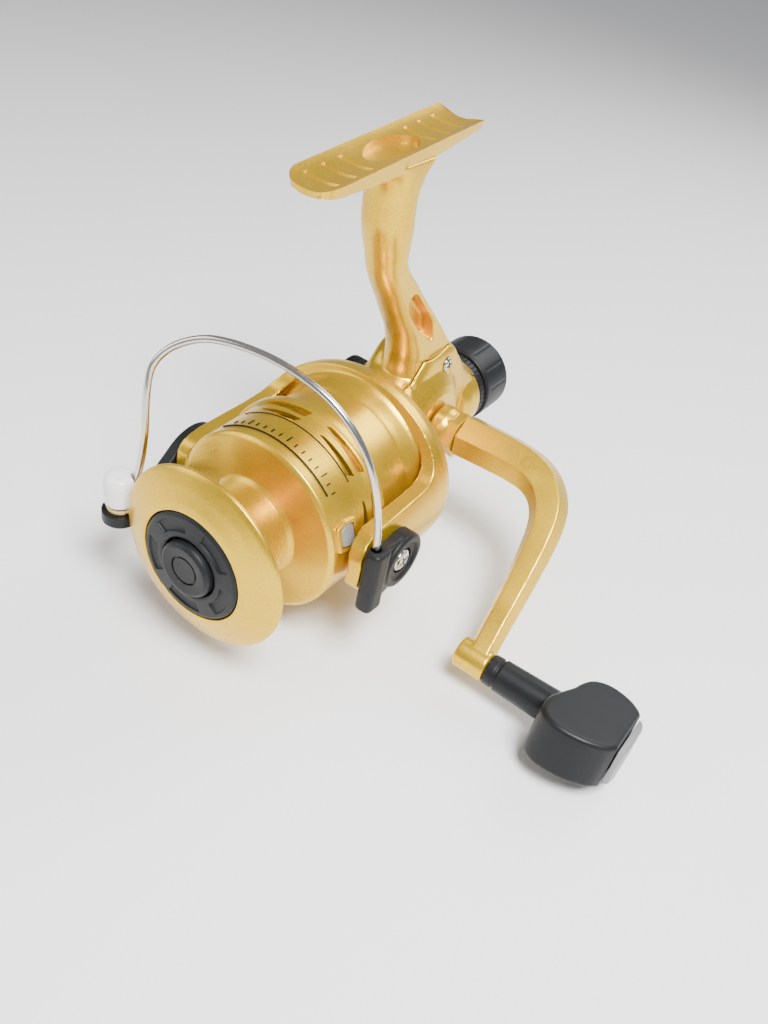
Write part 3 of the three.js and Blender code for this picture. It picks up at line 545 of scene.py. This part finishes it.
pocket = rounded(STEM_HOLLOW, 1.6, 4)
cap_boss = spun([(0, -17), (9, -17), (11.5, -12.5), (0, -12.5)], 96, "x", (0, CRANK_Y, CRANK_Z))
shell = joined(casing(), stem(), cap_boss)
less(shell, prism(cover_outline(GAP), PARTING, 30), hollow(-10.5, 12), bore_y(8.3, 13, 22),
     bore_y(9.3, 50, 65.4), bore_y(4.4, 60, 70), bore_x(6.8, -14, -9, CRANK_Y, CRANK_Z), bore_x(3.6, -20, -9, CRANK_Y, CRANK_Z),
     prism(pocket, 1.3, 12), prism(pocket, -12, -1.3), box((-1.6, 47.4, -26), (1.6, 50.6, -15)))
cast(shell, 0.4, 4)
joined(shell, seat(foot_plate()))
trough = FOOT_WIDTH ** 2 / 8 / FOOT_SAG
for groove_y in (-27, -20.4, -13.9, 13.4, 19.8, 26.3):
    reach = trough + 0.6
    groove = spun([(0, groove_y - 0.9), (reach - 0.5, groove_y - 0.9), (reach, groove_y - 0.4),
                   (reach, groove_y + 0.4), (reach - 0.5, groove_y + 0.9),
                   (0, groove_y + 0.9)], 160, "y", (0, 0, trough - FOOT_SAG))
    less(shell, seat(shared(groove, box((-4.9, -40, -6), (4.9, 40, 3)))))
oval = [(5 * math.cos(a), 1 + 10.4 * math.sin(a)) for a in np.linspace(0, 2 * math.pi, 72, endpoint=False)]
less(shell, seat(prism(oval, -2.9, 3, "z")))
star = spun([(0, -4.6), (4.6, -2.8), (4.6, 0), (0, 0)], 8, "z")
less(shell, seat(moved(star, Matrix.Translation((0, 1, 0)) @ Matrix.Diagonal((1, 2.1, 1, 1)))))
piece("housing_casting", shell, "body", "gold_paint", "housing", angle=40)

cover = shared(casing(), prism(cover_outline(0), PARTING + GAP, 30))
tools = [hollow(0, 7.4), bore_y(8.6, 13, 22), bore_y(8.9, 50, 65.4), bore_x(12, 0, 9.4, CRANK_Y, CRANK_Z),
         bore_x(6.8, 8, 12.5, CRANK_Y, CRANK_Z), bore_x(3.6, 8, 14, CRANK_Y, CRANK_Z)]
for name, y, z in COVER_SCREWS:
    tools += [bore_x(2.9, 8.3, 16, y, z), bore_x(1.5, 0, 16, y, z)]
piece("cover_casting", cast(less(cover, *tools), 0.3, 3), "body", "gold_paint", "side_cover", angle=180)
for name, y, z in COVER_SCREWS:
    piece(name + "_head", screw(8.6, 1, 2.5, 1.2, y, z), "body", "steel", name)

# ------------------------------------------------------------------ rear drag
collar = rounded([(5, 67.3), (12.6, 67.3), (13.1, 67.8), (13.1, 70.4), (12.6, 71), (5, 71)], 0.25, 3)
ribs = []
for i in range(48):
    a = 2 * math.pi * i / 48
    at = (13.15 * math.cos(a), 0, 13.15 * math.sin(a))
    ribs.append(spun([(0, 67.9), (0.28, 67.9), (0.28, 70.5), (0, 70.5)], 6, "y", at))
piece("rear_collar_ring", less(spun(collar, 192), *ribs), "body", "black_plastic", "rear_collar")

shell = rounded([(0, 87.1), (9, 87.5), (12.6, 87.2), (13.9, 85.7), (13.9, 71.9), (13.4, 71.3), (11.6, 71.3),
                 (11.6, 83), (7, 83), (7, 77), (3.6, 77), (3.6, 84), (0, 84)], 0.5, 4, closed=False)
grip = spun(shell, 192)
flutes = []
for i in range(12):
    a = rad(i * 30 + 15)
    at = (15.35 * math.cos(a), 0, 15.35 * math.sin(a))
    flutes.append(spun([(0, 73.5), (1.6, 73.5), (1.6, 84.6), (1.2, 86), (0, 86)], 32, "y", at))
piece("drag_knob_grip", cast(less(grip, *flutes), 0.22, 2), "drag_knob", "black_plastic",
      "drag_knob", angle=180)

# ------------------------------------------------------------------ handle
hub = joined(
    turned([(0, 13.7), (6.8, 13.7), (7.6, 14.5), (7.6, 17.4), (6.8, 19.6), (0, 19.6)], 0.5, 4, 96, "x"),
    spun([(0, 19), (7.2, 19), (7.7, 23.1), (0, 23.1)], 6, "x"))
less(hub, bore_x(3.5, 10, 20, 0, 0))
piece("handle_hub_body", moved(cast(hub, 0.18, 2), crank), "crank", "gold_paint", "handle_hub", angle=180)

ARM = [
    [23.4, 0.9, 0, 8.2, 3.4, 6.3], [34, 1.3, 0, 8.2, 3.3, 6.2], [43, 1.3, 0, 8, 3.2, 6.1],
    [50.5, 0.3, 12, 7.8, 3, 5.9], [56.2, -2.6, 34, 7.4, 2.8, 5.7], [60.4, -7.4, 56, 7, 2.6, 5.5],
    [62.8, -13.6, 72, 6.4, 2.4, 5.3], [64.2, -21, 80, 6, 2.2, 5.1], [65.3, -30, 84, 5.6, 2, 4.9],
    [66.2, -40, 85, 5.2, 1.9, 4.7], [67, -50, 86, 5, 1.8, 4.5], [67.6, -57.5, 86, 5, 1.8, 4.3],
]
rings = []
for x, z, heading, face, bevel, depth in flowing(ARM, 6):
    across = (math.sin(rad(heading)), math.cos(rad(heading)))
    half = face / 2
    section = [(half, -depth), (half + bevel, 0), (half, depth), (-half, depth), (-half - bevel, 0),
               (-half, -depth)]
    rings.append([(x + across[0] * u, v, z + across[1] * u) for u, v in section])
boss = spun([(0, 61.4), (4.3, 61.4), (4.8, 61.9), (4.8, 71), (4.4, 71.6), (0, 71.6)],
            96, "x", (0, 0, -KNOB_REACH))
arm = less(joined(skinned(rings), boss), bore_x(2.3, 62.9, 80, 0, -KNOB_REACH))
piece("handle_arm_bar", moved(cast(arm, 0.22, 2), crank), "crank", "gold_paint", "handle_arm", angle=180)

cap = turned([(0, -25), (6.8, -25), (8, -23.8), (8, -19.6), (7.2, -19.2), (7.2, -18.6), (8, -18.2),
              (8, -17.4), (0, -17.4)], 0.4, 3, 160, "x")
ribs = []
for i in range(30):
    a = 2 * math.pi * i / 30
    ribs.append(bore_x(0.32, -23.4, -19.9, 8.05 * math.cos(a), 8.05 * math.sin(a), 8))
piece("handle_screw_cap_body", moved(less(cap, *ribs), crank), "crank", "black_plastic", "handle_screw_cap")

stem_profile = [(0, 72), (4.7, 72), (4.9, 74.6), (4.4, 74.9), (4.4, 75.5), (5, 75.8), (5.5, 97), (0, 97)]
PADDLE = [(95.6, 5), (96.4, 9), (98, 13), (101, 15.6), (105, 16.4), (110, 15.2), (113.4, 12.8), (114.8, 10.8),
          (114.8, -10.8), (112.4, -13.8), (107, -16.8), (100.5, -18), (95.8, -17.2), (92.6, -14.2),
          (91.6, -9), (92, -5)]
paddle_outline = flowing(PADDLE[:8], 4) + flowing(PADDLE[8:], 4)
paddle = prism(paddle_outline, -7.6, 7.6, "z", 4.8, 5)
moved(paddle, Matrix.Diagonal((1, 0.97, 1, 1)))
grip = joined(spun(stem_profile, 96, "x"), paddle)
less(grip, bore_x(2.3, 70, 112.4, 0, 0))
piece("handle_knob_grip", moved(cast(grip, 0.24, 3), knob), "knob", "black_plastic", "handle_knob", angle=180)
end_outline = [(115.1, 10.6), (116.6, 9), (117.2, 6), (117.2, -6), (116.6, -9), (115.1, -10.6)]
end = prism(rounded(end_outline, 0.8, 4), -5.6, 5.6, "z", 0.9, 4)
piece("knob_end_cap_plate", moved(end, knob), "knob", "grey_plastic", "knob_end_cap")

# ------------------------------------------------------------------ rotor
EDGE = [(-34.5, 4.2), (-32.7, 7.4), (-29.3, 9.3), (-24.5, 10), (-4, 10.6), (2, 12), (5, 15.4),
        (6.4, 21), (7, 30), (7.2, 40)]
edge = flowing(EDGE, 5)
saddle_outline = edge + [(13, 40), (13, -40)] + [(y, -z) for y, z in reversed(edge)]
drum = spun([(4.3, -19), (4.3, -22), (25.4, -22), (26.4, -21), (26.4, 0.6), (27.2, 2.6), (28.2, 5.4),
             (29.4, 7.4), (29.8, 13), (26.5, 13), (24, 8), (24, -19), (8, -19), (8, 6.5), (4.3, 6.5)], 160)
ring = spun([(0, -36), (34.2, -36), (35, -33), (35, 4), (34.6, 10), (33.8, 13), (0, 13)], 160)
moved(ring, Matrix.Diagonal((1, 1, 0.886, 1)))
less(ring, moved(bore_y(30.3, -40, 40), Matrix.Diagonal((1, 1, 0.93, 1))))
frame_solid = joined(drum, shared(ring, prism(saddle_outline, -40, 40)))
less(frame_solid, bore_x(1.9, 29, 40, PIVOT_Y, 0), bore_x(1.9, -40, -29, PIVOT_Y, 0),
     bore_x(5.6, 32.2, 40, PIVOT_Y, 0))
piece("rotor_casting", cast(frame_solid, 0.36, 2), "rotor", "gold_paint", "rotor", angle=180)

# ------------------------------------------------------------------ bail
WIRE = [
    (-32.4, -55, 1.6), (-31.8, -54.4, 4), (-30.1, -53.5, 10.3), (-29.2, -52.6, 21.5), (-30.4, -50.8, 33.5),
    (-30.6, -48.6, 41.2), (-27, -45.6, 47.4), (-20, -42.5, 52), (-11.8, -40.6, 54.1), (-1, -38.9, 54.6),
    (9, -37.8, 53.4), (18.6, -36.9, 50.2), (26, -36.2, 44.8), (31.2, -35.4, 37.8), (34.6, -34.5, 28.9),
    (36.7, -33.6, 18.7), (37.2, -33, 11.9), (37.4, -32.9, 5.4),
]
piece("bail_wire_rod", rod(WIRE, 1.05, 24, 10), "bail", "steel", "bail_wire", angle=60)

HOLDER = [(-20.6, 8.8), (-25.4, 9), (-30, 10), (-34.6, 10), (-35.4, 4), (-35.2, -8.4), (-33, -10.4),
          (-29.4, -10), (-25.6, -8.8), (-20.6, -8.8)]
outer_x = BAIL_FACE + 5
holder = joined(
    spun([(0, 35.4), (8.8, 35.4), (8.8, outer_x - 0.8), (8.1, outer_x), (6.6, outer_x), (6.2, outer_x - 0.7),
          (0, outer_x - 0.7)],
         96, "x", (0, PIVOT_Y, 0)),
    prism(rounded(HOLDER, 1.2, 4), 35.4, outer_x - 1.2, "x", 0.9, 3),
    prism(rounded([(35.4, -36.3), (40.6, -36.3), (40.9, -29.6), (35.4, -29.6)], 2, 5),
          -10.6, 10.8, "z", 1.1, 4))
less(holder, rod([(36.7, -33.6, 18.7), (37.2, -33, 11.9), (37.4, -32.9, 4.6)], 1.6, 24, 6),
     bore_x(1.9, 30, 50, PIVOT_Y, 0), bore_x(4.1, outer_x - 1.9, 50, PIVOT_Y, 0))
piece("bail_holder_body", cast(holder, 0.18, 2), "bail", "black_plastic", "bail_holder", angle=180)

BAIL_ARM = [(-12.6, -3), (-13.6, 0.6), (-16.4, 3.8), (-20, 5.6), (-24, 6), (-28.5, 5), (-32, 3), (-36, -0.4),
            (-40, -3.4), (-46, -4.9), (-57, -5), (-59, -5.4), (-59, -8.2), (-50, -8.8), (-42, -10.4),
            (-32, -11.8), (-22, -11.4), (-16, -8.4)]
outer_x = -BAIL_FACE - 4.2
RX, RY = -34.2, -57
carrier = joined(prism(rounded(BAIL_ARM, 2.2, 4), outer_x, -BAIL_FACE, "x", 1.0, 3),
                 bore_z(5.3, -8.4, -4.8, RX, RY))
less(carrier, bore_z(4.9, -4.8, 12, RX, RY), bore_z(1.5, -20, 0, RX, RY), bore_x(1.9, -50, -30, PIVOT_Y, 0),
     bore_x(4.1, -50, outer_x + 1.9, PIVOT_Y, 0))
piece("bail_arm_body", cast(carrier, 0.2, 2), "bail", "black_plastic", "bail_arm", angle=180)

roller_cap = turned([(0, -2.5), (4.6, -2.5), (4.6, 5.2), (4.1, 7), (2.8, 7.6), (0, 7.8)],
                    1.3, 6, 96, "z", (RX, RY, 0))
less(roller_cap, rod([(-32.7, -55.3, 0.6), (-31.8, -54.4, 4), (-30.1, -53.5, 10.3)], 1.6, 24, 6),
     bore_z(1.5, -6, 0.4, RX, RY),
     bore_z(0.5, 6.6, 9, RX + 1.2, RY - 1.6))
piece("roller_cap_body", cast(roller_cap, 0.14, 1), "bail", "white_cap", "roller_cap", angle=180)
pin = joined(screw(38.8, 1, 3.5, 1.4, PIVOT_Y, 0), bore_x(1.5, 31, 38.9, PIVOT_Y, 0))
piece("bail_screw_right_head", pin, "bail", "steel", "bail_screw_right")
pin = joined(screw(-38, -1, 3.5, 1.4, PIVOT_Y, 0), bore_x(1.5, -38.1, -31.1, PIVOT_Y, 0))
piece("bail_screw_left_head", pin, "bail", "steel", "bail_screw_left")

# ------------------------------------------------------------------ spool
CLIP_ANGLE, CLIP_Y = 72, -32.3


def clip_outline(grow):
    """Line clip on the spool skirt, seen from above."""
    return [(-3.4 - grow, -0.6 + CLIP_Y), (-2.6 - grow, 2.6 + grow + CLIP_Y),
            (2.6 + grow, 2.6 + grow + CLIP_Y), (3.4 + grow, 0.6 + CLIP_Y),
            (2.4 + grow, -2.6 - grow + CLIP_Y), (-2.2 - grow, -2.6 - grow + CLIP_Y)]


def around(obj, degrees):
    """Turns a shape about the spool axis."""
    return moved(obj, Matrix.Rotation(rad(degrees), 4, "Y"))


front = rounded([(2.7, -46), (2.7, -57.5), (9.2, -57.5), (9.2, -61.5), (16.8, -61.5), (16.8, -64.3),
                 (19, -63.7), (23.5, -62), (26.6, -60.6), (27.8, -59.8), (27.8, -58.9), (27, -58.3),
                 (15.4, -57.4), (14, -56)], 0.5, 4, closed=False)
ridges = []
for i in range(17):
    y = -55.4 + i * 0.86
    ridges += [(14.0, y), (14.35, y + 0.24), (14.35, y + 0.44), (14.0, y + 0.68)]
back = rounded([(14, -40.6), (15.4, -39.4), (26.8, -38.6), (28, -37.6), (28, -36.4), (28.1, -30),
                (28.4, -20), (29.4, -17.6), (29.4, -15), (28.2, -15), (27.5, -18.4), (27.1, -30),
                (26.9, -35.4), (25.8, -36.3), (9.5, -36.3), (9.5, -46)],
               0.45, 4, closed=False)
profile = front + ridges + back
profile = [p for i, p in enumerate(profile) if i == 0 or math.dist(p, profile[i - 1]) > 0.01]
body = spun(profile, 192)
bezel = around(prism(rounded(clip_outline(1.5), 0.6, 3), 27.2, 29.1, "z", 0.7, 3), CLIP_ANGLE)
joined(body, bezel)
tools = []
for i in range(8):
    for y, span in ((-23.4, 31), (-19.6, 35)):
        wide = 28 * math.sin(rad(span / 2))
        corners = [(-wide, y + 0.4), (-wide * 0.86, y + 1.2), (wide, y + 1.2), (wide * 0.8, y - 1.5)]
        slot = rounded(corners, 0.4, 3)
        tools.append(around(prism(slot, 22, 32, "z"), 30 + 45 * i))
tools.append(around(prism(rounded(clip_outline(GAP), 0.3, 3), 27.6, 40, "z"), CLIP_ANGLE))
for y in (-36.0, -26.2):
    tools.append(spun([(27.95, y), (29, y - 0.25), (29, y + 0.25)], 192))
less(body, *tools)
piece("spool_body", body, "spool", "gold_paint", "spool", angle=30)
clip = around(prism(rounded(clip_outline(0), 0.5, 3), 27.9, 29.2, "z", 0.35, 3), CLIP_ANGLE)
piece("line_clip_tab", clip, "spool", "grey_plastic", "line_clip")

ring = spun(rounded([(9.1, -61.8), (16.5, -61.8), (16.5, -64), (15.7, -64.6), (9.8, -65.1), (9.1, -64.8)],
                    0.3, 3), 160)
tools = []
for i in range(5):
    arc = [(14.6 * math.cos(a), 14.6 * math.sin(a)) for a in (rad(72 * i + 2.3 * k) for k in range(21))]
    arc += [(11.2 * math.cos(a), 11.2 * math.sin(a)) for a in (rad(72 * i + 46 - 2.3 * k) for k in range(21))]
    recess = prism(rounded(arc, 0.5, 3), -68, -64.3, "y")
    tools.append(moved(recess, Matrix.Diagonal((1, 1, -1, 1))))
piece("front_cap_ring", cast(less(ring, *tools), 0.15, 1), "spool", "black_plastic", "front_cap", angle=180)

button = turned([(0, -61.3), (8.5, -61.3), (8.5, -66), (7.6, -67), (4.4, -66.6), (0, -66.4)], 0.4, 4, 128)
less(button, spun([(3.9, -68), (4.5, -68), (4.5, -66.1), (3.9, -66.1)], 96),
     spun([(3.6, -64.2), (5.7, -64.2), (5.7, -60), (3.6, -60)], 96))
piece("push_button_body", button, "button", "black_plastic", "push_button")

rings = [spun([(27.9, y), (28.42, y), (28.42, y + 0.35), (27.9, y + 0.35)], 192) for y in (-34.6, -25.4)]
wedge = [(0, 0)] + [(40 * math.sin(rad(a)), 40 * math.cos(rad(a))) for a in range(-38, 49, 3)]
marks = shared(joined(*rings), prism(wedge, -50, 0, "y"))
for i in range(15):
    tall = 2.4 if i % 5 == 2 else 1.4
    tick = box((-0.2, -32.6, 27.9), (0.2, -32.6 + tall, 28.3))
    joined(marks, around(tick, -32 + 5.6 * i))
piece("spool_marks", marks, "spool", "black_plastic")

# ------------------------------------------------------------------ anti-reverse lever
LEVER = [(-2.6, 46.4), (2.6, 46.4), (3, 50), (2.2, 60), (0, 62), (-2.2, 60), (-3, 50)]
lever = joined(bore_z(1.3, -24.2, -16.6, 0, 49),
               prism(rounded(LEVER, 0.8, 4), -26, -24, "z", 0.5, 3))
piece("anti_reverse_lever_tab", lever, "lever", "black_plastic", "anti_reverse_lever")

# ------------------------------------------------------------------ floor, light and camera
low, high = (Vector(c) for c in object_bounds())
centre = (low + high) / 2
floor_mesh = bpy.data.meshes.new("floor")
z = low.z - 0.0004
floor_mesh.from_pydata([(-3, -3, z), (3, -3, z), (3, 3, z), (-3, 3, z)], [], [(0, 1, 2, 3)])
floor = bpy.data.objects.new("floor", floor_mesh)
bpy.context.scene.collection.objects.link(floor)
paper = bpy.data.materials.new("pale_floor")
paper.use_nodes = True
paper.node_tree.nodes["Principled BSDF"].inputs["Base Color"].default_value = (0.9, 0.9, 0.9, 1)
paper.node_tree.nodes["Principled BSDF"].inputs["Roughness"].default_value = 0.9
floor_mesh.materials.append(paper)
floor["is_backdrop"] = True

world = bpy.data.worlds.new("studio")
bpy.context.scene.world = world
world.use_nodes = True
world.node_tree.nodes["Background"].inputs["Color"].default_value = (0.95, 0.97, 1, 1)
world.node_tree.nodes["Background"].inputs["Strength"].default_value = 0.36


def lamp(name, place, size, power):
    data = bpy.data.lights.new(name, "AREA")
    data.size = size
    data.energy = power
    obj = bpy.data.objects.new(name, data)
    obj.location = centre + Vector(place)
    obj.rotation_euler = Vector(place).to_track_quat("Z", "Y").to_euler()
    bpy.context.scene.collection.objects.link(obj)


lamp("key", (0.22, -0.2, 0.5), 0.22, 10.5)
lamp("fill", (-0.5, -0.35, 0.25), 0.4, 1.6)
lamp("back", (0.1, 0.5, 0.4), 0.35, 3)

camera_data = bpy.data.cameras.new("camera")
camera_data.lens = 33.22
camera_data.sensor_width = 36
camera_data.clip_start = 0.01
camera = bpy.data.objects.new("camera", camera_data)
bpy.context.scene.collection.objects.link(camera)
right = Vector((0.805, 0.5698, 0.165))
up = Vector((-0.4737, 0.4499, 0.7571))
back_axis = Vector((0.3572, -0.6877, 0.6321))
turn = Matrix((right, up, back_axis)).transposed().to_4x4()
camera.matrix_world = Matrix.Translation((0.1245, -0.2012, 0.1785 + AXIS)) @ turn
bpy.context.scene.camera = camera
